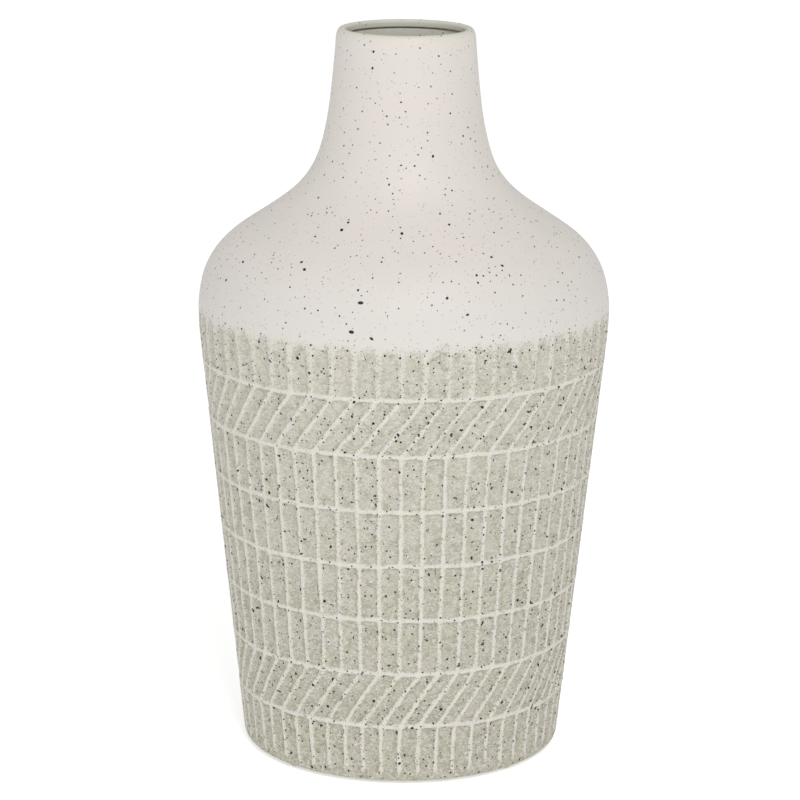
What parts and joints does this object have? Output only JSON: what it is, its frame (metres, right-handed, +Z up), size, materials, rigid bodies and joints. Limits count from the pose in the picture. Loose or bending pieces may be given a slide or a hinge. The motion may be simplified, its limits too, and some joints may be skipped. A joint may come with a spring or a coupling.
{
  "type": "vase",
  "caption": "Tall stoneware bottle vase: smooth speckled shoulder and flared neck over a tapered body with rows of raised ribs, on a turned foot.",
  "frame": {"origin": "centre of the vase's foot, on the surface that it stands on", "axes": "+Z up along the axis that the vase is turned about, -Y towards the front"},
  "size_m": [0.23, 0.23, 0.4079],
  "materials": {
    "matte_cream_glaze": "matte",
    "textured_stoneware": "matte",
    "bare_stoneware": "matte",
    "grey_felt": "matte"
  },
  "bodies": {
    "root": {"foot_ring": "textured_stoneware", "floor_disc": "bare_stoneware", "lower_wall": "textured_stoneware", "upper_wall": "textured_stoneware", "shoulder": "matte_cream_glaze", "neck": "matte_cream_glaze", "rim_bead": "matte_cream_glaze", "floor_seam_coil": "bare_stoneware", "wall_seam_coil": "bare_stoneware", "shoulder_seam_coil": "bare_stoneware", "felt_pad_front_right": "grey_felt", "felt_pad_back_right": "grey_felt", "felt_pad_back_left": "grey_felt", "felt_pad_front_left": "grey_felt"}
  },
  "joints": []
}
